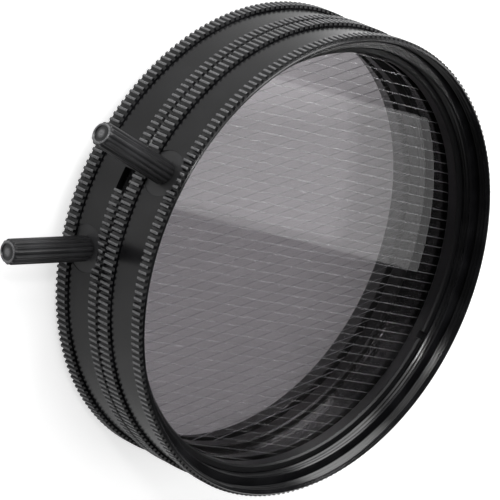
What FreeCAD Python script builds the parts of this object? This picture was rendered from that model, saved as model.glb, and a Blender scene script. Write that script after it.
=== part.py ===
"""Variable star filter for a 77 mm lens front: two stacked rotating filter units.

Each unit is a knurled base ring with a rear male thread and a rotating cell that turns in
its pocket. The pocket wall leans inward over the cell's conical spigot, so the cell turns
freely and cannot be pulled out. The cell carries an etched glass, a slotted ring that
holds the glass down, and a fluted lever pin. The front thread of a cell is wider than the
thread on the lens, so that two stacked units don't darken the corners of the picture. The
front unit's base is screwed into the rear cell.

Millimetres. +Z is the optical axis and points to the front, z = 0 is the rear face of the
rear knurl, and +X runs along the rear lever pin. Heights named without a unit are counted
from the rear face of their own unit's base knurl.
"""
import FreeCAD
import Part
import math
import os

# Lens thread, which every diameter below is set out from, and the wider front thread
thread_d = 77.0
front_thread_step = 1.5
thread_fit = 0.02
male_thread_length = 2.0

# Knurled bands and smooth bands
rim_wall = 1.8
band_recess = 0.7
knurl_depth = 0.4
knurl_teeth = 112
base_knurl_height = 2.6
smooth_band_height = 5.7
cell_knurl_height = 2.5

# Rotary joint between base ring and cell
thread_wall = 1.0
pocket_floor_z = 0.8
pocket_wall = 0.55
pocket_lean = 0.4
running_clearance = 0.05
end_clearance = 0.05

# Glass and the ring that holds it
holder_thread_step = 0.4
seat_width = 1.5
seat_thickness = 0.95
glass_thickness = 2.2
glass_clearance = 0.15
holder_width = 1.3
holder_height = 2.4
holder_slot_width = 1.4
holder_slot_depth = 0.8

# Lever pin
lever_d = 4.3
lever_length = 17.2
lever_flutes = 14
lever_flute_depth = 0.22
lever_tip_bevel = 0.5
stud_d = 2.0
stud_length = 1.2
stud_end_gap = 0.1
spot_face_margin = 1.85
spot_face_depth = 0.3

# Notch through the front knurl of the rear cell
notch_width = 3.8
notch_azimuth = -18.9

# Azimuth of each unit's lever pin at rest
rear_lever_azimuth = 0.0
front_lever_azimuth = -23.9

# Overlap of a cutting tool past the metal it removes
tool_overrun = 1.0

# Sizes that follow from the ones above
front_thread_d = thread_d + 2 * front_thread_step
band_d = thread_d + 2 * rim_wall
knurl_d = band_d + 2 * band_recess
base_bore_d = thread_d - 2 * thread_wall
pocket_floor_d = band_d - 2 * pocket_wall
pocket_mouth_d = pocket_floor_d - 2 * pocket_lean
holder_thread_d = thread_d - 2 * holder_thread_step
seat_d = holder_thread_d - 2 * seat_width
holder_bore_d = holder_thread_d - 2 * holder_width
unit_pitch = base_knurl_height + smooth_band_height + cell_knurl_height
cell_knurl_z = unit_pitch - cell_knurl_height
shoulder_z = base_knurl_height + end_clearance
spigot_z = pocket_floor_z + end_clearance
seat_z = spigot_z + seat_thickness
glass_top_z = seat_z + glass_thickness
holder_top_z = glass_top_z + holder_height
lever_z = base_knurl_height + smooth_band_height / 2
spot_face_x = band_d / 2 - spot_face_depth
spot_face_d = lever_d + 2 * spot_face_margin
notch_floor_r = front_thread_d / 2 - thread_wall
origin = FreeCAD.Vector(0, 0, 0)
up = FreeCAD.Vector(0, 0, 1)
outward = FreeCAD.Vector(1, 0, 0)


def turned(points):
    """Solid of revolution about Z from (radius, z) points."""
    corners = [FreeCAD.Vector(radius, 0.0, z) for radius, z in points]
    outline = Part.makePolygon(corners + corners[:1])
    return Part.Face(outline).revolve(origin, up, 360)


def toothed_outline(tip_r, depth, teeth, place):
    """Closed zigzag outline with one pointed ridge per tooth, set out by place(u, v)."""
    corners = []
    for index in range(2 * teeth):
        radius = tip_r - depth * (index % 2)
        angle = index * math.pi / teeth
        corners.append(place(radius * math.cos(angle), radius * math.sin(angle)))
    return Part.Face(Part.makePolygon(corners + corners[:1]))


def knurled_band(z_low, height):
    """Ring of straight knurl ridges that stands on the smooth band diameter."""
    outline = toothed_outline(knurl_d / 2, knurl_depth, knurl_teeth,
                              lambda u, v: FreeCAD.Vector(u, v, z_low))
    band = outline.extrude(FreeCAD.Vector(0, 0, height))
    core = Part.makeCylinder(band_d / 2, height, FreeCAD.Vector(0, 0, z_low))
    return band.cut(core)


def pocket_r(z):
    """Radius of the leaning pocket wall at height z."""
    rise = (z - pocket_floor_z) / (base_knurl_height - pocket_floor_z)
    return (pocket_floor_d + rise * (pocket_mouth_d - pocket_floor_d)) / 2


def base_ring(male_d):
    """Knurled ring with the male thread behind and the pocket for the cell in front."""
    body = turned([
        (base_bore_d / 2, -male_thread_length),
        (male_d / 2, -male_thread_length),
        (male_d / 2, 0.0),
        (band_d / 2, 0.0),
        (band_d / 2, base_knurl_height),
        (pocket_r(base_knurl_height), base_knurl_height),
        (pocket_r(pocket_floor_z), pocket_floor_z),
        (base_bore_d / 2, pocket_floor_z),
    ])
    return body.fuse(knurled_band(0.0, base_knurl_height)).removeSplitter()


def cell_blank():
    """Rotating cell before milling: conical spigot, glass seat, smooth band and knurl."""
    body = turned([
        (seat_d / 2, spigot_z),
        (pocket_r(spigot_z) - running_clearance, spigot_z),
        (pocket_r(shoulder_z) - running_clearance, shoulder_z),
        (band_d / 2, shoulder_z),
        (band_d / 2, unit_pitch),
        (front_thread_d / 2 + thread_fit, unit_pitch),
        (front_thread_d / 2 + thread_fit, cell_knurl_z),
        (holder_thread_d / 2, cell_knurl_z),
        (holder_thread_d / 2, seat_z),
        (seat_d / 2, seat_z),
    ])
    return body.fuse(knurled_band(cell_knurl_z, cell_knurl_height)).removeSplitter()


def lever_seat():
    """Milling tool for the spot face and the blind hole of the lever pin, along +X."""
    reach = knurl_d / 2 - spot_face_x + tool_overrun
    spot_start = FreeCAD.Vector(spot_face_x, 0, lever_z)
    spot = Part.makeCylinder(spot_face_d / 2, reach, spot_start, outward)
    hole_depth = stud_length + stud_end_gap
    hole_start = FreeCAD.Vector(spot_face_x - hole_depth, 0, lever_z)
    hole = Part.makeCylinder(stud_d / 2, hole_depth, hole_start, outward)
    return spot.fuse(hole)


def knurl_notch():
    """Milling tool for the notch through a cell's knurl into its thread."""
    depth = knurl_d / 2 - notch_floor_r + tool_overrun
    corner = FreeCAD.Vector(notch_floor_r, -notch_width / 2, cell_knurl_z)
    box = Part.makeBox(depth, notch_width, cell_knurl_height, corner)
    box.rotate(origin, up, notch_azimuth)
    return box


def glass_disc():
    """Plane-parallel glass that lies on the seat of the cell."""
    radius = holder_thread_d / 2 - glass_clearance
    return Part.makeCylinder(radius, glass_thickness, FreeCAD.Vector(0, 0, seat_z))


def glass_holder():
    """Screwed ring above the glass, with a driver slot across its front face."""
    ring = turned([
        (holder_bore_d / 2, glass_top_z),
        (holder_thread_d / 2, glass_top_z),
        (holder_thread_d / 2, holder_top_z),
        (holder_bore_d / 2, holder_top_z),
    ])
    corner = FreeCAD.Vector(-thread_d, -holder_slot_width / 2, holder_top_z - holder_slot_depth)
    return ring.cut(Part.makeBox(2 * thread_d, holder_slot_width, holder_slot_depth, corner))


def lever_pin():
    """Fluted pin with a bevelled free end and a short stud towards the cell."""
    outline = toothed_outline(lever_d / 2, lever_flute_depth, lever_flutes,
                              lambda u, v: FreeCAD.Vector(spot_face_x, u, lever_z + v))
    grip_length = lever_length - lever_tip_bevel
    grip = outline.extrude(outward * grip_length)
    root_r = lever_d / 2 - lever_flute_depth
    tip_start = FreeCAD.Vector(spot_face_x + grip_length, 0, lever_z)
    tip = Part.makeCone(root_r, root_r - lever_tip_bevel, lever_tip_bevel, tip_start, outward)
    stud_start = FreeCAD.Vector(spot_face_x - stud_length, 0, lever_z)
    stud = Part.makeCylinder(stud_d / 2, stud_length, stud_start, outward)
    return grip.fuse([tip, stud]).removeSplitter()


def save(name, shape, unit_z, azimuth):
    """Put a unit's piece in its place, write parts/NAME.step and print its volume."""
    placed = shape.copy()
    placed.rotate(origin, up, azimuth)
    placed.translate(up * unit_z)
    if not placed.isValid():
        raise ValueError(name + " is not a valid solid")
    placed.exportStep("parts/" + name + ".step")
    print(name, len(placed.Solids), "solid", round(placed.Volume, 1), "mm3")


os.makedirs("parts", exist_ok=True)
front_cell = cell_blank().cut(lever_seat())
rear_cell = front_cell.cut(knurl_notch())
pieces = {
    "glass": glass_disc(),
    "glass_holder": glass_holder(),
    "lever_pin": lever_pin(),
}
save("rear_cell", rear_cell, 0.0, rear_lever_azimuth)
save("front_cell", front_cell, unit_pitch, front_lever_azimuth)
save("rear_base_ring", base_ring(thread_d), 0.0, rear_lever_azimuth)
save("front_base_ring", base_ring(front_thread_d), unit_pitch, front_lever_azimuth)
for piece, shape in pieces.items():
    save("rear_" + piece, shape, 0.0, rear_lever_azimuth)
    save("front_" + piece, shape, unit_pitch, front_lever_azimuth)
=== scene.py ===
# %% [markdown]
# # Variable star filter
# The real object is two filter units of one kind, screwed together. Each unit is a knurled base
# ring, a cell that turns in it, a pane of etched glass, a slotted ring that holds the glass,
# and a fluted lever pin. The frame brings in the CAD model with its bodies and joints. This
# lesson gives it the finer shapes that a lens filter really has, and then its finishes.

# %% Load the frame
import math
import bmesh
import bpy
import numpy as np
from mathutils import Matrix


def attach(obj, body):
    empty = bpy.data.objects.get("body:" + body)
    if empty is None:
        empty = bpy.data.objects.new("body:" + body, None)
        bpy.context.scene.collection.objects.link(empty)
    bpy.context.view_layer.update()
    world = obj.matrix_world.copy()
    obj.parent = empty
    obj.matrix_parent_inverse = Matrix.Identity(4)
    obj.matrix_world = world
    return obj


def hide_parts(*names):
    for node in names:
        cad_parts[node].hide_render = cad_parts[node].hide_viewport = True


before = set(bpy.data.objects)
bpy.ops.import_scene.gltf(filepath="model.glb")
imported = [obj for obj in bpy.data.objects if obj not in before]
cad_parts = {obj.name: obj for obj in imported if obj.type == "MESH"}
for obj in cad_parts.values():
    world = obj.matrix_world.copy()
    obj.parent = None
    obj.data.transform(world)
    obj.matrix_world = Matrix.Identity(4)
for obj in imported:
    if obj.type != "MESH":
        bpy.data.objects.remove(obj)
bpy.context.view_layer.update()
MM = 0.001

# %% [markdown]
# ## Sizes
# The heights and radii are the CAD model's, in millimetres, counted from the rear face of a
# unit's own base knurl. The front unit is the same shapes lifted by one unit and turned, so
# every ring is described once and placed twice.

# %% Sizes of one unit
UNIT_LIFT = 10.8
UNITS = {"rear": (0.0, 0.0), "front": (UNIT_LIFT, -23.9)}
BODIES = {"rear": ("rear_base", "rear_turning"), "front": ("rear_turning", "front_turning")}
KNURL_TIP = 41.0
KNURL_DEPTH = 0.5
KNURL_ROOT = KNURL_TIP - KNURL_DEPTH
KNURL_TEETH = 224
BAND = 40.3
THREAD_PITCH = 0.75
THREAD_DEPTH = 0.34
MALE_THREADS = {"rear": 38.5, "front": 40.0}
MALE_THREAD_END = -2.0
BASE_BORE = 37.5
POCKET_FLOOR = 0.8
BASE_TOP = 2.6
FRONT_BORE = 40.02
LEDGE = 8.3
GLASS_WALL = 38.1
SEAT = 1.8
SEAT_BORE = 36.6
GLASS_FACE = 4.0
HOLDER_BORE = 36.8
HOLDER_TOP = 6.4
LEVER_Z = 5.45
for name, place in UNITS.items():
    print(name, "unit lifted", place[0], "mm and turned", place[1], "degrees")

# %% [markdown]
# ## Rings as rows of points
# A turned ring is a closed profile carried round the axis. Here each point of the profile is
# a whole row of points round the ring, held as one array of radii and one of heights. That
# lets a row follow the knurl's teeth, or climb like a thread, with no loop over vertices. A
# row has four columns per tooth: the tip's two edges and the root's two edges. The knurl has
# as many teeth as the photograph shows, twice those of the CAD model.

# %% Columns round a ring
TOOTH_EDGES = np.array([0.0, 0.34, 0.48, 0.86])
TOOTH_LEVELS = np.array([1.0, 1.0, 0.0, 0.0])


def column_turns():
    """Fractions of a turn at which columns stand: tooth number plus edge, over the teeth."""
    turns = (np.arange(KNURL_TEETH)[:, None] + TOOTH_EDGES[None, :]) / KNURL_TEETH
    return np.append(turns.ravel(), 1.0)


TURNS = column_turns()
TOOTH = np.append(np.tile(TOOTH_LEVELS, KNURL_TEETH), TOOTH_LEVELS[0])


def plain(radius, height):
    """A row on a circle: the same radius and height in every column."""
    return [(np.full_like(TURNS, radius), np.full_like(TURNS, height))]


def toothed(tip, height, depth=KNURL_DEPTH):
    """A row on the knurl: radius is the tip's, less the depth where the tooth level is 0."""
    radius = tip - depth * (1.0 - TOOTH)
    return [(radius, np.full_like(TURNS, height))]


print("columns round a ring", TURNS.size)

# %% [markdown]
# ## Screw threads
# A filter thread is a fine 60 degree thread. Rows at fixed heights would cut its ridges into
# steps, so the rows climb with the thread instead: each one is a helix that keeps to one
# level of the ridge all the way. Six of them make up a pitch, and their levels follow a
# cosine from crest to root and back, so that the flanks are round enough to catch a lamp
# somewhere. Where a helix leaves the threaded length it is held at the end, and the ridge
# fades to nothing just before that, as a chamfer does to a real thread.

# %% Rows of a thread
ROWS_PER_PITCH = 6
PITCH_PARTS = np.arange(ROWS_PER_PITCH) / ROWS_PER_PITCH
PITCH_LEVELS = 0.5 + 0.5 * np.cos(2.0 * np.pi * PITCH_PARTS)


def threaded(low, high, end_radius, ridge, phase=0.0, lead=0.3):
    """Helical rows: height is start plus pitch times turn, held within low and high; radius
    is the end radius plus the ridge times the row's level, faded over the lead at both ends.
    The phase is the share of a pitch by which the first row starts higher."""
    first = math.floor((low / THREAD_PITCH) - 1.0 - phase) - 1
    last = math.ceil(high / THREAD_PITCH - phase) + 1
    starts = (np.arange(first, last)[:, None] + PITCH_PARTS[None, :] + phase) * THREAD_PITCH
    levels = np.tile(PITCH_LEVELS, last - first)
    rows = []
    for start, level in zip(starts.ravel(), levels):
        climb = start + THREAD_PITCH * TURNS
        if climb.max() < low or climb.min() > high:
            continue
        height = np.clip(climb, low, high)
        fade = np.clip(np.minimum(height - low, high - height) / lead, 0.0, 1.0)
        rows.append((end_radius + ridge * level * fade, height))
    return rows


print("rows in a 4 mm thread", len(threaded(0.0, 4.0, GLASS_WALL, THREAD_DEPTH)))

# %% [markdown]
# ## From rows to a mesh
# The rows become a grid of quads that closes on itself both ways. A thread's rows meet their
# neighbours one pitch higher after a full turn, so the seam is closed by merging points that
# coincide. Normals are made to point outwards afterwards, and edges that turn by more than
# 28 degrees are marked sharp, because machined metal has crisp edges. The upright edges of
# the teeth stay soft, because knurling presses them round.

# %% Mesh helpers
SHARP = 28.0
SHARP_UPRIGHT = 78.0
UPRIGHT = 0.9
MERGED = 2e-7


def finished(name, points, faces):
    """An object at the origin from points in millimetres and quads, merged and closed."""
    mesh = bpy.data.meshes.new(name)
    mesh.from_pydata((points * MM).tolist(), [], faces.tolist())
    shell = bmesh.new()
    shell.from_mesh(mesh)
    bmesh.ops.remove_doubles(shell, verts=shell.verts, dist=MERGED)
    bmesh.ops.recalc_face_normals(shell, faces=shell.faces)
    shell.to_mesh(mesh)
    shell.free()
    return placed(name, mesh)


def sharp_edges(mesh, angle):
    """True for each edge whose two faces turn by more than the angle in degrees."""
    mesh.set_sharp_from_angle(angle=math.radians(angle))
    marks = np.zeros(len(mesh.edges), dtype=bool)
    if "sharp_edge" not in mesh.attributes:
        mesh.attributes.new("sharp_edge", "BOOLEAN", "EDGE")
    mesh.attributes["sharp_edge"].data.foreach_get("value", marks)
    return marks


def placed(name, mesh):
    """Puts a mesh in the scene at the origin, with sharp edges. An edge is upright where its
    rise is more than 0.9 of its length, and then it is sharp only from the greater angle."""
    mesh.polygons.foreach_set("use_smooth", np.ones(len(mesh.polygons), dtype=bool))
    upright = sharp_edges(mesh, SHARP_UPRIGHT)
    level = sharp_edges(mesh, SHARP)
    ends = np.empty(2 * len(mesh.edges), dtype=np.int32)
    mesh.edges.foreach_get("vertices", ends)
    points = np.empty(3 * len(mesh.vertices))
    mesh.vertices.foreach_get("co", points)
    run = np.diff(points.reshape(-1, 3)[ends.reshape(-1, 2)], axis=1)[:, 0, :]
    climbs = np.abs(run[:, 2]) > UPRIGHT * np.linalg.norm(run, axis=1)
    mesh.attributes["sharp_edge"].data.foreach_set("value", np.where(climbs, upright, level))
    piece = bpy.data.objects.new(name, mesh)
    bpy.context.scene.collection.objects.link(piece)
    return piece


def grid_faces(rows, columns, closed_rows):
    """Quads between neighbouring rows and columns of a grid, whose last row may meet the first."""
    last = rows if closed_rows else rows - 1
    i, j = np.meshgrid(np.arange(last), np.arange(columns - 1), indexing="ij")
    here = i * columns
    there = ((i + 1) % rows) * columns
    quads = np.stack([here + j, here + j + 1, there + j + 1, there + j], axis=-1)
    return quads.reshape(-1, 4)


def ring(name, profile, unit):
    """A ring from its rows: x and y are radius times cosine and sine of the turn."""
    lift, azimuth = UNITS[unit]
    radius = np.array([row[0] for row in profile])
    height = np.array([row[1] for row in profile]) + lift
    angle = 2.0 * np.pi * TURNS[None, :] + math.radians(azimuth)
    points = np.stack([radius * np.cos(angle), radius * np.sin(angle), height], axis=-1)
    faces = grid_faces(len(profile), TURNS.size, True)
    return finished(name, points.reshape(-1, 3), faces)


BOX_FACES = np.array([[0, 1, 3, 2], [4, 6, 7, 5], [0, 4, 5, 1], [2, 3, 7, 6],
                      [0, 2, 6, 4], [1, 5, 7, 3]])


def turned_points(along, across, up, azimuth):
    """Points turned about the axis: x is along times cosine less across times sine of the
    azimuth, y is along times sine plus across times cosine, and z is up."""
    cosine = math.cos(math.radians(azimuth))
    sine = math.sin(math.radians(azimuth))
    points = [along * cosine - across * sine, along * sine + across * cosine, up]
    return np.stack(points, axis=-1).reshape(-1, 3)


def bar(name, along, across, up, azimuth):
    """A box with its length turned to an azimuth, from the two ends of each of its sides."""
    sides = np.meshgrid(along, across, up, indexing="ij")
    return finished(name, turned_points(*sides, azimuth), BOX_FACES)


def spun_along_x(name, profile, columns, unit, form=None):
    """A pin or a cutter: (x, radius, weight) stations spun about the lever's own axis. The
    radius is less by the weight times the form, which is a function of the turn."""
    lift, azimuth = UNITS[unit]
    turn = 2.0 * np.pi * np.arange(columns + 1) / columns
    x, radius, weight = [np.array(values)[:, None] for values in zip(*profile)]
    shape = np.zeros_like(turn) if form is None else form(turn)
    shaped = radius - weight * shape[None, :]
    across = shaped * np.cos(turn)
    up = LEVER_Z + lift + shaped * np.sin(turn)
    along = x + np.zeros_like(across)
    faces = grid_faces(len(profile), columns + 1, False)
    return finished(name, turned_points(along, across, up, azimuth), faces)


def cut_with(piece, tool):
    """Takes the tool's volume out of the piece and deletes the tool."""
    cut = piece.modifiers.new("cut", "BOOLEAN")
    cut.object = tool
    cut.operation = "DIFFERENCE"
    cut.solver = "EXACT"
    name = piece.name
    spent = [piece.data, tool.data]
    seen = piece.evaluated_get(bpy.context.evaluated_depsgraph_get())
    done = bpy.data.meshes.new_from_object(seen)
    bpy.data.objects.remove(piece)
    bpy.data.objects.remove(tool)
    for mesh in spent:
        bpy.data.meshes.remove(mesh)
    done.name = name
    return placed(name, done)


# %% [markdown]
# ## Base rings
# A base ring carries the male thread at its rear, a knurled band to grip, and the pocket
# that the cell turns in. The knurl's teeth end in small chamfers, so that they don't cut the
# fingers, and the pocket wall leans inwards over the cell, so that the cell can't come out.

# %% Base rings
TOOTH_END = 0.18
BORE_CHAMFER = 0.2
THREAD_CHAMFER = 0.12


def base_profile(phase, crest):
    """The base ring's rows, from the bore up the pocket, down the knurl and the thread."""
    root = crest - THREAD_DEPTH
    rear, floor = MALE_THREAD_END, POCKET_FLOOR
    bore = (plain(BASE_BORE + BORE_CHAMFER, rear) + plain(BASE_BORE, rear + BORE_CHAMFER)
            + plain(BASE_BORE, floor - BORE_CHAMFER) + plain(BASE_BORE + BORE_CHAMFER, floor))
    pocket = plain(39.75, floor) + plain(39.39, BASE_TOP - TOOTH_END) + plain(39.5, BASE_TOP)
    knurl = (plain(KNURL_ROOT, BASE_TOP) + toothed(KNURL_TIP, BASE_TOP - TOOTH_END)
             + toothed(KNURL_TIP, TOOTH_END) + plain(KNURL_ROOT, 0.0))
    thread = threaded(rear + THREAD_CHAMFER, -THREAD_CHAMFER, root, THREAD_DEPTH, phase)
    end = plain(root - THREAD_CHAMFER, rear)
    return bore + pocket + knurl + plain(root, 0.0) + thread[::-1] + end


for unit, (lift, azimuth) in UNITS.items():
    phase = -azimuth / 360.0 - lift / THREAD_PITCH
    piece = ring(unit + "_base_ring_turned", base_profile(phase, MALE_THREADS[unit]), unit)
    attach(piece, BODIES[unit][0])
    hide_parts(unit + "_base_ring")
    print(piece.name, len(piece.data.polygons), "faces")

# %% [markdown]
# ## Cells
# A cell is the part that a photographer turns: a spigot in the base ring's pocket, a smooth
# band that carries the lever, a knurl, and a female thread in front that takes another
# filter. The lever sits in a round spot face, which is milled flat into the curved band, so
# a stepped tool is spun along the lever's axis and taken out of the ring. The rear cell also
# has a notch cut through its knurl into the thread, to one side of its lever. Inside, above
# the glass, a second thread is cut for the ring that holds it.

# %% Cell rows
FRONT_THREAD_START = 0.57
HOLDER_THREAD_START = 0.2
HOLDER_THREAD_DEPTH = 0.28


def cell_profile(phase):
    """The cell's rows, from the spigot up the band and knurl, down the threads to the seat."""
    spigot = plain(36.7, 0.85) + plain(39.6, 0.85) + plain(39.68, 0.93) + plain(39.29, 2.65)
    band = plain(BAND - 0.16, 2.65) + plain(BAND, 2.81) + plain(BAND, LEDGE)
    knurl = (plain(KNURL_ROOT, LEDGE) + toothed(KNURL_TIP, LEDGE + TOOTH_END)
             + toothed(KNURL_TIP, 10.24) + plain(40.54, 10.4))
    rim = (plain(40.52, 10.42) + plain(40.52, 10.66) + plain(40.38, UNIT_LIFT)
           + plain(40.2, UNIT_LIFT) + plain(FRONT_BORE, 10.66))
    front_thread = threaded(8.36, 10.62, FRONT_BORE, -THREAD_DEPTH, phase + FRONT_THREAD_START)
    ledge = plain(FRONT_BORE, LEDGE) + plain(38.32, LEDGE) + plain(GLASS_WALL, 8.08)
    holder_thread = threaded(6.44, 8.04, GLASS_WALL, HOLDER_THREAD_DEPTH,
                             phase + HOLDER_THREAD_START)
    seat = (plain(GLASS_WALL, SEAT) + plain(36.7, SEAT) + plain(SEAT_BORE, 1.7)
            + plain(SEAT_BORE, 0.95))
    outside = spigot + band + knurl + rim
    return outside + front_thread[::-1] + ledge + holder_thread[::-1] + seat


print("rows of a cell", len(cell_profile(0.0)))

# %% Cells
SPOT_FACE = 40.0
SPOT_RADIUS = 4.0
STUD_HOLE_END = 38.7
STUD_HOLE_RADIUS = 1.03
TOOL_END = 42.5


def lever_seat_tool(unit):
    """The stepped tool: a cylinder for the blind hole and a wider one for the flat spot."""
    steps = [(STUD_HOLE_END, 0.0, 0), (STUD_HOLE_END, STUD_HOLE_RADIUS, 0),
             (SPOT_FACE, STUD_HOLE_RADIUS, 0), (SPOT_FACE, SPOT_RADIUS, 0),
             (TOOL_END, SPOT_RADIUS, 0), (TOOL_END, 0.0, 0)]
    return spun_along_x("lever_seat_tool", steps, 96, unit)


# The notch: its two ends along the radius, across it and in height, and then its azimuth
NOTCH = ([39.0, 42.0], [-1.9, 1.9], [LEDGE, 12.0], -18.9)

for unit, (lift, azimuth) in UNITS.items():
    name = unit + "_cell_turned"
    piece = ring(name, cell_profile(-azimuth / 360.0 - lift / THREAD_PITCH), unit)
    piece = cut_with(piece, lever_seat_tool(unit))
    if unit == "rear":
        piece = cut_with(piece, bar("notch_tool", *NOTCH))
    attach(piece, BODIES[unit][1])
    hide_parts(unit + "_cell")
    print(piece.name, len(piece.data.polygons), "faces")

# %% [markdown]
# ## Glass holders
# The glass lies loose on its seat until a thin ring is screwed down on it. Two slots across
# the ring's front face take the driver. The ring is turned like the others, with finer
# chamfers, and a long bar cuts both slots at once.

# %% Glass holders
REAR_CHAMFER = 0.1
OUTER_CHAMFER = 0.12
INNER_CHAMFER = 0.3
SLOT_HALF = 0.7
SLOT_FLOOR = 5.6
TOOL_HALF = 50.0
TOOL_TOP = 8.0


def holder_profile():
    """The holder's rows round its small rectangle, with chamfered corners."""
    rear = plain(HOLDER_BORE + REAR_CHAMFER, GLASS_FACE)
    rear += plain(GLASS_WALL - REAR_CHAMFER, GLASS_FACE)
    wall = plain(GLASS_WALL, GLASS_FACE + REAR_CHAMFER)
    wall += plain(GLASS_WALL, HOLDER_TOP - OUTER_CHAMFER)
    front = plain(GLASS_WALL - OUTER_CHAMFER, HOLDER_TOP)
    front += plain(HOLDER_BORE + INNER_CHAMFER, HOLDER_TOP)
    bore = plain(HOLDER_BORE, HOLDER_TOP - INNER_CHAMFER)
    bore += plain(HOLDER_BORE, GLASS_FACE + REAR_CHAMFER)
    return rear + wall + front + bore


for unit, (lift, azimuth) in UNITS.items():
    piece = ring(unit + "_glass_holder_turned", holder_profile(), unit)
    heights = [SLOT_FLOOR + lift, TOOL_TOP + lift]
    slots = bar("slot_tool", [-TOOL_HALF, TOOL_HALF], [-SLOT_HALF, SLOT_HALF], heights, azimuth)
    piece = cut_with(piece, slots)
    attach(piece, BODIES[unit][1])
    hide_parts(unit + "_glass_holder")
    print(piece.name, len(piece.data.polygons), "faces")

# %% [markdown]
# ## Lever pins
# Each lever is a short rod with rounded flutes along it, so that it can be turned with one
# finger. The flutes are a wave round the rod, and the free end is bevelled down to a slightly
# hollow disc. A thin stud, hidden in the cell, holds the lever.

# %% Lever pins
FLUTES = 14
FLUTE_POWER = 1.3


def flutes(turn):
    """How far below the rod's crest the surface lies: one minus a power of the size of a
    cosine wave. Its size has two crests per wave, so there are half as many waves as flutes."""
    return 1.0 - np.abs(np.cos(0.5 * FLUTES * turn)) ** FLUTE_POWER


# Stations of the pin from the stud to the free end: x, radius, and the depth of its flutes
PIN = [(38.8, 0.0, 0.0), (38.8, 0.92, 0.0), (38.88, 1.0, 0.0), (40.0, 1.0, 0.0),
       (40.02, 1.75, 0.0), (40.32, 1.98, 0.1), (40.45, 2.15, 0.22), (56.65, 2.15, 0.22),
       (56.8, 2.06, 0.16), (57.08, 1.78, 0.0), (57.2, 1.62, 0.0), (57.2, 1.5, 0.0),
       (56.95, 1.32, 0.0), (57.05, 0.9, 0.0), (57.12, 0.4, 0.0), (57.12, 0.0, 0.0)]
for unit in UNITS:
    piece = spun_along_x(unit + "_lever_pin_fluted", PIN, 12 * FLUTES, unit, flutes)
    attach(piece, BODIES[unit][1])
    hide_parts(unit + "_lever_pin")
    print(piece.name, len(piece.data.polygons), "faces")

# %% [markdown]
# ## Node helpers
# Materials are graphs. Short helpers keep the lesson readable: one adds a node and feeds its
# sockets, one does the same for a sum, and one turns a range of values into another. Two more
# open a new group, whose inputs and outputs have names, and place it in a material, so that
# several finishes can share one effect.

# %% Node helpers
def add(tree, kind, feeds=None, **settings):
    """A shader node with its settings, whose sockets are fed by values or by other sockets."""
    made = tree.nodes.new("ShaderNode" + kind)
    for key, value in settings.items():
        setattr(made, key, value)
    for socket, value in (feeds or {}).items():
        if isinstance(value, bpy.types.NodeSocket):
            tree.links.new(value, made.inputs[socket])
        else:
            made.inputs[socket].default_value = value
    return made


def maths(tree, operation, *values):
    """The result of one Math node."""
    return add(tree, "Math", dict(enumerate(values)), operation=operation).outputs[0]


def ramp(tree, value, low, high, start=0.0, end=1.0):
    """The result of one Map Range node: low becomes start, high becomes end, and values
    beyond them are held."""
    return add(tree, "MapRange", {"Value": value, 1: low, 2: high, 3: start, 4: end}).outputs[0]


def new_group(name, inputs, outputs):
    """An empty node group with named inputs (name, default) and outputs (name, kind)."""
    tree = bpy.data.node_groups.new(name, "ShaderNodeTree")
    for label, default in inputs:
        kind = "NodeSocketFloat" if isinstance(default, float) else "NodeSocketColor"
        socket = tree.interface.new_socket(name=label, in_out="INPUT", socket_type=kind)
        socket.default_value = default
    for label, kind in outputs:
        tree.interface.new_socket(name=label, in_out="OUTPUT", socket_type="NodeSocket" + kind)
    return tree, tree.nodes.new("NodeGroupInput").outputs, tree.nodes.new("NodeGroupOutput")


def use_group(tree, group, values):
    """The outputs of a group placed in a material, with its own values."""
    return add(tree, "Group", values, node_tree=group).outputs


# %% [markdown]
# ## Black anodised metal
# Anodised aluminium is black but never flat: a lathe leaves fine circles on it, the dye is a
# little uneven, and handling turns it greyer in cloudy patches. The circles are a noise that
# changes fast with radius and height and slowly round the axis. Feeding it the cosine and sine
# of the angle, and the radius as its fourth number, leaves no seam. Beyond a given radius, on
# the crests of a knurl or the end of a lever, hands have rubbed the dye off in patches, and
# bare metal shines through.

# %% Anodised group
BLAST_SCALE = 9000.0
CLOUD_SCALE = 160.0
WORN_FADE = 0.00006
BARE_METAL = (0.8, 0.8, 0.82, 1.0)
ANODISED_INPUTS = [("Dye", (0.005, 0.005, 0.0057, 1.0)), ("Bare", (0.06, 0.06, 0.065, 1.0)),
                   ("Fineness", 9000.0), ("Roughness", 0.3), ("Unevenness", 0.2),
                   ("Wear", 0.0), ("Worn Beyond", 1.0), ("Shine", 0.5)]
ANODISED_OUTPUTS = [("Colour", "Color"), ("Roughness", "Float"), ("Metallic", "Float"),
                    ("Height", "Float")]


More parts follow.
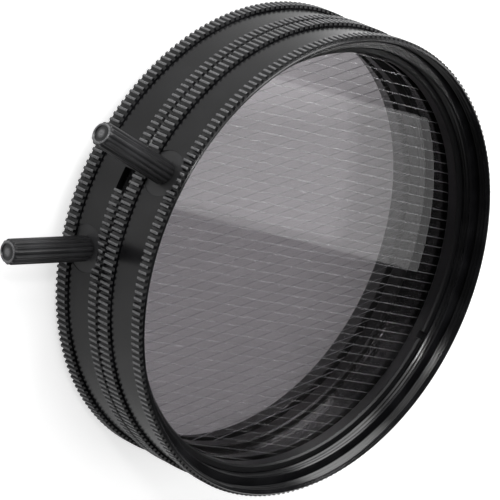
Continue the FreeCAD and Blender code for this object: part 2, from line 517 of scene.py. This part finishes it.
def anodised_group():
    """Colour, roughness, metallic and height of turned, dyed aluminium, in Object
    coordinates. The colour is the dye times one plus the unevenness times the clouds and
    circles, mixed with worn grey by the wear and with bare metal by the shine."""
    tree, given, result = new_group("anodised", ANODISED_INPUTS, ANODISED_OUTPUTS)
    place = add(tree, "TexCoord").outputs["Object"]
    part = add(tree, "SeparateXYZ", {0: place}).outputs
    square = maths(tree, "ADD", maths(tree, "MULTIPLY", part[0], part[0]),
                   maths(tree, "MULTIPLY", part[1], part[1]))
    radius = maths(tree, "SQRT", square)
    across = add(tree, "CombineXYZ", {
        0: maths(tree, "MULTIPLY", maths(tree, "DIVIDE", part[0], radius), 2.0),
        1: maths(tree, "MULTIPLY", maths(tree, "DIVIDE", part[1], radius), 2.0),
        2: maths(tree, "MULTIPLY", part[2], given["Fineness"])}).outputs[0]
    circles = add(tree, "TexNoise", {"Vector": across, "Scale": 1.0, "Detail": 2.0,
                                     "W": maths(tree, "MULTIPLY", radius, given["Fineness"])},
                  noise_dimensions="4D").outputs["Fac"]
    blast = add(tree, "TexNoise", {"Vector": place, "Scale": BLAST_SCALE,
                                   "Detail": 2.0}).outputs["Fac"]
    clouds = add(tree, "TexNoise", {"Vector": place, "Scale": CLOUD_SCALE,
                                    "Detail": 3.0}).outputs["Fac"]
    uneven = maths(tree, "ADD", maths(tree, "MULTIPLY", clouds, 0.6),
                   maths(tree, "MULTIPLY", circles, 0.4))
    shade = maths(tree, "ADD", 1.0, maths(tree, "MULTIPLY", given["Unevenness"],
                                          maths(tree, "SUBTRACT", uneven, 0.5)))
    dyed = add(tree, "VectorMath", {0: given["Dye"], "Scale": shade}, operation="SCALE")
    rub = maths(tree, "MULTIPLY", given["Wear"], ramp(tree, clouds, 0.45, 0.7))
    worn = add(tree, "Mix", {0: rub, 6: dyed.outputs[0], 7: given["Bare"]}, data_type="RGBA")
    beyond = maths(tree, "SUBTRACT", radius, given["Worn Beyond"])
    patches = maths(tree, "MULTIPLY", ramp(tree, beyond, 0.0, WORN_FADE),
                    ramp(tree, blast, 0.35, 0.6, 0.15, 1.0))
    shine = maths(tree, "MULTIPLY", patches, given["Shine"])
    colour = add(tree, "Mix", {0: shine, 6: worn.outputs[2], 7: BARE_METAL}, data_type="RGBA")
    rough = maths(tree, "MULTIPLY", given["Roughness"], shade)
    height = maths(tree, "ADD", circles, maths(tree, "MULTIPLY", blast, 0.5))
    tree.links.new(colour.outputs[2], result.inputs["Colour"])
    tree.links.new(rough, result.inputs["Roughness"])
    tree.links.new(shine, result.inputs["Metallic"])
    tree.links.new(height, result.inputs["Height"])
    return tree


ANODISED = anodised_group()
print("anodised group has", len(ANODISED.nodes), "nodes")

# %% [markdown]
# ## The metal finishes
# Every metal piece is the same black anodising with its own values: the knurled rings are
# satin, with bare patches on the crests of their teeth, the levers are greyer and worn at
# the end, and the holder deep inside is duller. The flat spot under a lever is milled and not
# turned, so its faces take a second, rougher material.

# %% Metal materials
DYED_SPECULAR = 0.42
BUMP_HEIGHT = 0.00002


def anodised_metal(name, bump, values):
    """A material that puts the anodised group into a Principled BSDF."""
    material = bpy.data.materials.new(name)
    material.use_nodes = True
    tree = material.node_tree
    shader = tree.nodes["Principled BSDF"]
    shader.inputs["Specular IOR Level"].default_value = DYED_SPECULAR
    finish = use_group(tree, ANODISED, values)
    tree.links.new(finish["Colour"], shader.inputs["Base Color"])
    tree.links.new(finish["Roughness"], shader.inputs["Roughness"])
    tree.links.new(finish["Metallic"], shader.inputs["Metallic"])
    relief = add(tree, "Bump", {"Height": finish["Height"], "Strength": bump,
                                "Distance": BUMP_HEIGHT})
    tree.links.new(relief.outputs[0], shader.inputs["Normal"])
    return material


RING = {"Roughness": 0.18, "Wear": 0.15, "Worn Beyond": 0.0409, "Shine": 0.3}
CELL = {"Roughness": 0.2, "Wear": 0.12, "Worn Beyond": 0.0409, "Shine": 0.3}
HOLDER = {"Roughness": 0.38}
LEVER = {"Roughness": 0.32, "Wear": 0.3, "Dye": (0.02, 0.02, 0.021, 1.0),
         "Worn Beyond": 0.05706, "Shine": 0.3}
SPOT = {"Roughness": 0.42, "Wear": 0.5, "Dye": (0.03, 0.03, 0.031, 1.0)}
METALS = {
    "base_ring_turned": anodised_metal("knurled_ring_black", 0.35, RING),
    "cell_turned": anodised_metal("cell_black", 0.35, CELL),
    "glass_holder_turned": anodised_metal("holder_black", 0.3, HOLDER),
    "lever_pin_fluted": anodised_metal("lever_black", 0.3, LEVER),
}
MILLED = anodised_metal("milled_black", 0.2, SPOT)
for ending, material in METALS.items():
    for unit in UNITS:
        bpy.data.objects[unit + "_" + ending].data.materials.clear()
        bpy.data.objects[unit + "_" + ending].data.materials.append(material)
    print(material.name)

# %% Milled spot faces
ALONG_LEVER = 0.9999
SPOT_TOLERANCE = 0.02


def milled_spot(piece, unit):
    """True for each face of the flat spot: its normal runs along the lever, and its centre
    lies at the spot face's distance from the axis, measured along the lever."""
    azimuth = math.radians(UNITS[unit][1])
    along = np.array([math.cos(azimuth), math.sin(azimuth), 0.0])
    count = len(piece.data.polygons)
    normals = np.empty(3 * count)
    centres = np.empty(3 * count)
    piece.data.polygons.foreach_get("normal", normals)
    piece.data.polygons.foreach_get("center", centres)
    distance = centres.reshape(-1, 3) @ along / MM
    facing = normals.reshape(-1, 3) @ along > ALONG_LEVER
    return facing & (np.abs(distance - SPOT_FACE) < SPOT_TOLERANCE)


for unit in UNITS:
    piece = bpy.data.objects[unit + "_cell_turned"]
    piece.data.materials.append(MILLED)
    spot = milled_spot(piece, unit)
    piece.data.polygons.foreach_set("material_index", spot.astype(np.int32))
    print(piece.name, int(spot.sum()), "milled faces")

# %% [markdown]
# ## Etched lines
# Each pane has one family of fine parallel lines ruled into its front face, and crossing the
# two families gives the star. Drawn in a picture, lines this thin would blur, so each one is
# a real sliver of frosted surface, a closed bar a sixth of a millimetre wide that stands a
# few thousandths proud of the glass. It scatters the lamp's light where the glass mirrors it.

# %% Etched lines
# Azimuth of the lines, their pitch, and how far the middle line is from the axis
LINES = {"rear": (15.25, 1.85, 0.35), "front": (-9.6, 1.65, 0.1)}
LINE_WIDTH = 0.17
LINE_PROUD = 0.006
LINE_SUNK = 0.02
PANE_RADIUS = 37.9
PANE_MARGIN = 0.6


def etched_lines(name, face, azimuth, pitch, offset):
    """Bars at offset plus whole pitches across an azimuth. Half a bar's length is the root of
    the pane's radius squared less the bar's distance, to its outer edge, squared."""
    count = int(PANE_RADIUS / pitch)
    across = offset + pitch * np.arange(-count, count + 1)
    across = across[np.abs(across) < PANE_RADIUS - PANE_MARGIN]
    half = np.sqrt(PANE_RADIUS ** 2 - (np.abs(across) + LINE_WIDTH) ** 2)
    heights = [face - LINE_SUNK, face + LINE_PROUD]
    side, end, up = np.meshgrid([-0.5, 0.5], [-1.0, 1.0], heights, indexing="ij")
    lengths = end.ravel()[None, :] * half[:, None]
    places = across[:, None] + side.ravel()[None, :] * LINE_WIDTH
    levels = np.broadcast_to(up.ravel()[None, :], lengths.shape)
    points = turned_points(lengths, places, levels, azimuth)
    faces = BOX_FACES[None, :, :] + 8 * np.arange(across.size)[:, None, None]
    return finished(name, points, faces.reshape(-1, 4))


for unit, (azimuth, pitch, offset) in LINES.items():
    face = GLASS_FACE + UNITS[unit][0]
    piece = etched_lines(unit + "_etched_lines", face, azimuth, pitch, offset)
    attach(piece, BODIES[unit][1])
    print(piece.name, len(piece.data.polygons) // 6, "lines")

# %% [markdown]
# ## Glass
# The glass between the lines is a neutral grey with a trace of mauve, and a little dust and
# haze vary it. For rays from lamps the material is a plain see-through grey, because bent rays
# would leave a black shadow. That grey is much darker than the pane's own tint, so the floor
# under the panes lies in deeper shade than the glass would cast. The lines are frosted, and
# the same dust makes their cover uneven. The rear pane's lines cover more than the front
# pane's, which are ruled more finely.

# %% Dust group
HAZE_SCALE = 90.0
SPECK_SCALE = 4000.0
DUST_INPUTS = [("Clean", (0.85, 0.83, 0.85, 1.0)), ("Dusty", (0.7, 0.7, 0.7, 1.0)),
               ("Amount", 0.2), ("Cover", 0.5)]


def dust_group():
    """Colour and cover of a surface with soft clouds and fine specks, in Object coordinates.
    The dusty colour's share is clouds times specks times the amount, and the cover is the
    given one times 0.7 plus 0.6 of the specks."""
    outputs = [("Colour", "Color"), ("Cover", "Float")]
    tree, given, result = new_group("dust", DUST_INPUTS, outputs)
    place = add(tree, "TexCoord").outputs["Object"]
    clouds = add(tree, "TexNoise", {"Vector": place, "Scale": HAZE_SCALE, "Detail": 4.0})
    specks = add(tree, "TexNoise", {"Vector": place, "Scale": SPECK_SCALE, "Detail": 1.0})
    both = maths(tree, "MULTIPLY", clouds.outputs["Fac"], specks.outputs["Fac"])
    share = maths(tree, "MULTIPLY", both, given["Amount"])
    colour = add(tree, "Mix", {0: share, 6: given["Clean"], 7: given["Dusty"]}, data_type="RGBA")
    uneven = maths(tree, "ADD", 0.7, maths(tree, "MULTIPLY", specks.outputs["Fac"], 0.6))
    cover = add(tree, "Clamp", {0: maths(tree, "MULTIPLY", given["Cover"], uneven)}).outputs[0]
    tree.links.new(colour.outputs[2], result.inputs["Colour"])
    tree.links.new(cover, result.inputs["Cover"])
    return tree


DUST = dust_group()
print("dust group has", len(DUST.nodes), "nodes")

# %% Glass and frosted lines
# Painted shade: the shadow grey is darker than the pane's clean tint, deepening the shade under
# the panes
SHADOW_TINT = (0.35, 0.34, 0.35, 1.0)
FROST_COLOUR = (0.85, 0.85, 0.87, 1.0)


def grey_glass(name):
    """Tinted glass whose shadow lets light through a grey much darker than its own tint."""
    material = bpy.data.materials.new(name)
    material.use_nodes = True
    tree = material.node_tree
    shader = tree.nodes["Principled BSDF"]
    shader.inputs["Transmission Weight"].default_value = 1.0
    shader.inputs["Roughness"].default_value = 0.0
    shader.inputs["IOR"].default_value = 1.5
    tint = use_group(tree, DUST, {"Amount": 0.15})
    tree.links.new(tint["Colour"], shader.inputs["Base Color"])
    open_pane = add(tree, "BsdfTransparent", {"Color": SHADOW_TINT})
    either = add(tree, "MixShader", {0: add(tree, "LightPath").outputs["Is Shadow Ray"],
                                     1: shader.outputs[0], 2: open_pane.outputs[0]})
    tree.links.new(either.outputs[0], tree.nodes["Material Output"].inputs["Surface"])
    return material


def frosted_line(name, metallic, cover):
    """A pale satin surface that partly covers what is behind it."""
    material = bpy.data.materials.new(name)
    material.use_nodes = True
    tree = material.node_tree
    shader = tree.nodes["Principled BSDF"]
    shader.inputs["Metallic"].default_value = metallic
    shader.inputs["Roughness"].default_value = 0.3
    frost = use_group(tree, DUST, {"Clean": FROST_COLOUR, "Cover": cover})
    tree.links.new(frost["Colour"], shader.inputs["Base Color"])
    tree.links.new(frost["Cover"], shader.inputs["Alpha"])
    return material


GLASS = grey_glass("grey_glass")
FROST = {"rear": frosted_line("etched_line_deep", 0.7, 0.5),
         "front": frosted_line("etched_line_fine", 0.9, 0.18)}
for unit in UNITS:
    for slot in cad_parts[unit + "_glass"].material_slots:
        slot.material = GLASS
    bpy.data.objects[unit + "_etched_lines"].data.materials.append(FROST[unit])
print("glass", GLASS.name, "lines", [frost.name for frost in FROST.values()])

# %% [markdown]
# ## Floor and background
# The filter lies on a plain white floor. Part of the floor's white is its own colour under
# the lamps, which keeps the filter's soft shadow. A glow, seen only by the camera and by
# mirrors and glass, lifts the lit floor to a clean white. What metal mirrors of the floor has
# a painted glow that is dim on the +x side and brightens towards -x, and what glass shows of
# it has a painted glow that brightens towards -y: painted light and shade on the floor. The
# world is white for the camera, and for mirrors only near the horizon, like a studio wall.

# %% Floor
FLOOR_Z = -2.0
FLOOR_HALF = 6000.0
CAMERA_GLOW = 0.62


def white_floor():
    """A white diffuse floor whose glow is the camera's level for camera rays, a painted ramp of
    light along x for mirrored rays, and a painted ramp of light along y for rays through glass."""
    material = bpy.data.materials.new("studio_floor")
    material.use_nodes = True
    tree = material.node_tree
    shader = tree.nodes["Principled BSDF"]
    shader.inputs["Base Color"].default_value = (0.8, 0.8, 0.8, 1.0)
    shader.inputs["Roughness"].default_value = 0.9
    shader.inputs["Specular IOR Level"].default_value = 0.1
    path = add(tree, "LightPath").outputs
    place = add(tree, "SeparateXYZ", {0: add(tree, "TexCoord").outputs["Object"]}).outputs
    # Painted light and shade: mirrors see the floor brighten towards -x, glass sees it brighten
    # towards -y
    beside = ramp(tree, place[0], -0.005, -0.028, 0.1, 0.75)
    behind = ramp(tree, place[1], -0.019, -0.028, 0.16, 0.4)
    # A ray that came through glass also counts as glossy, so it is taken out here
    only_mirrored = maths(tree, "MULTIPLY", path["Is Glossy Ray"],
                          maths(tree, "SUBTRACT", 1.0, path["Is Transmission Ray"]))
    mirrored = maths(tree, "MULTIPLY", only_mirrored, beside)
    through = maths(tree, "MULTIPLY", path["Is Transmission Ray"], behind)
    seen = maths(tree, "MAXIMUM", maths(tree, "MULTIPLY", path["Is Camera Ray"], CAMERA_GLOW),
                 maths(tree, "MAXIMUM", mirrored, through))
    shader.inputs["Emission Color"].default_value = (1.0, 1.0, 1.0, 1.0)
    tree.links.new(seen, shader.inputs["Emission Strength"])
    return material


corners = np.array([[-FLOOR_HALF, -FLOOR_HALF, FLOOR_Z], [FLOOR_HALF, -FLOOR_HALF, FLOOR_Z],
                    [FLOOR_HALF, FLOOR_HALF, FLOOR_Z], [-FLOOR_HALF, FLOOR_HALF, FLOOR_Z]])
floor = finished("studio_floor", corners, np.array([[0, 1, 2, 3]]))
floor.data.materials.append(white_floor())
print("floor at z", FLOOR_Z, "mm")

# %% World
DIFFUSE_LEVEL = 0.25
LEAST_LEVEL = 0.04
world = bpy.context.scene.world or bpy.data.worlds.new("studio")
bpy.context.scene.world = world
world.use_nodes = True
sky = world.node_tree
path = add(sky, "LightPath").outputs
upward = add(sky, "SeparateXYZ", {0: add(sky, "TexCoord").outputs["Generated"]}).outputs[2]
backdrop = ramp(sky, upward, 0.05, 0.25, 1.0, 0.0)
mirrored = maths(sky, "MULTIPLY", backdrop,
                 maths(sky, "MAXIMUM", path["Is Glossy Ray"], path["Is Transmission Ray"]))
seen = maths(sky, "MAXIMUM", path["Is Camera Ray"], mirrored)
soft = maths(sky, "MULTIPLY", path["Is Diffuse Ray"], DIFFUSE_LEVEL)
level = maths(sky, "MAXIMUM", seen, maths(sky, "ADD", soft, LEAST_LEVEL))
sky.links.new(level, sky.nodes["Background"].inputs["Strength"])
sky.nodes["Background"].inputs["Color"].default_value = (1.0, 1.0, 1.0, 1.0)
print("world light for diffuse rays", DIFFUSE_LEVEL + LEAST_LEVEL)

# %% [markdown]
# ## Lamps
# The panes and the flat faces mirror only one small part of the studio to the camera. A long
# soft lamp stands there and shows as the pale veil on the glass, and a small bright one
# beside it makes the etched lines in the veil light up. A wide lamp to the side runs along
# the smooth bands and the knurls, one overhead fills the shapes, and two in front of the
# levers, one soft and one small, draw the glints on their flutes. Each lamp is aimed by
# building its axes from the point that it looks at, and the camera doesn't see it.

# %% Lamps
def soft_lamp(name, place, target, width, height, watts, upright=(0.0, 0.0, 1.0)):
    """A rectangular lamp at a place in millimetres whose face looks at the target."""
    lamp = bpy.data.lights.new(name, "AREA")
    lamp.shape = "RECTANGLE"
    lamp.size = width * MM
    lamp.size_y = height * MM
    lamp.energy = watts
    back = np.array(place, float) - np.array(target, float)
    back /= np.linalg.norm(back)
    right = np.cross(upright, back)
    right /= np.linalg.norm(right)
    up = np.cross(back, right)
    holder = bpy.data.objects.new(name, lamp)
    axes = np.eye(4)
    axes[:3, 0] = right
    axes[:3, 1] = up
    axes[:3, 2] = back
    axes[:3, 3] = np.array(place) * MM
    holder.matrix_world = Matrix(axes.tolist())
    holder.visible_camera = False
    bpy.context.scene.collection.objects.link(holder)


MIDDLE = (0.0, 0.0, 10.0)
PANE = (0.0, 0.0, 15.0)
# Name, place, target, width, height, watts, and which way is up for two of them
LAMPS = [
    ("veil_lamp", (-298.0, 73.8, 274.1), PANE, 200.0, 43.0, 0.025, (-0.163, -0.982, 0.093)),
    ("side_lamp", (-200.0, -1000.0, 600.0), MIDDLE, 900.0, 500.0, 9.5),
    ("top_lamp", (-200.0, -100.0, 1150.0), MIDDLE, 500.0, 500.0, 2.2, (0.0, 1.0, 0.0)),
    ("front_lamp", (452.0, -645.0, 616.0), MIDDLE, 350.0, 350.0, 0.8),
    ("glint_lamp", (551.0, -415.0, 579.0), MIDDLE, 80.0, 80.0, 1.2),
    ("line_lamp", (-290.0, 17.8, 290.0), PANE, 16.0, 16.0, 0.03),
]
for lamp in LAMPS:
    soft_lamp(*lamp)
    print(lamp[0], lamp[5], "W")

# %% [markdown]
# ## Camera
# The camera looks from about 48 degrees off the optical axis with a long lens, and it is
# rolled, so that the filter stands on its edge in the picture although it lies flat on the
# floor. Its three axes are unit vectors: right, up, and back towards the camera.

# %% Camera
CAMERA_PLACE = (425.284, -146.356, 403.189)
CAMERA_RIGHT = (-0.70691, -0.20004, 0.67842)
CAMERA_UP = (-0.03483, -0.94816, -0.31587)
CAMERA_BACK = (0.70644, -0.24692, 0.66330)
camera_data = bpy.data.cameras.new("camera")
camera_data.lens = 252.0
camera_data.sensor_width = 36.0
camera_data.clip_start = 0.01
camera_data.clip_end = 50.0
camera = bpy.data.objects.new("camera", camera_data)
bpy.context.scene.collection.objects.link(camera)
axes = np.eye(4)
axes[:3, 0] = CAMERA_RIGHT
axes[:3, 1] = CAMERA_UP
axes[:3, 2] = CAMERA_BACK
axes[:3, 3] = np.array(CAMERA_PLACE) * MM
camera.matrix_world = Matrix(axes.tolist())
bpy.context.scene.camera = camera
bpy.context.scene.view_settings.view_transform = "Standard"
print("camera", [round(value, 4) for value in camera.location])
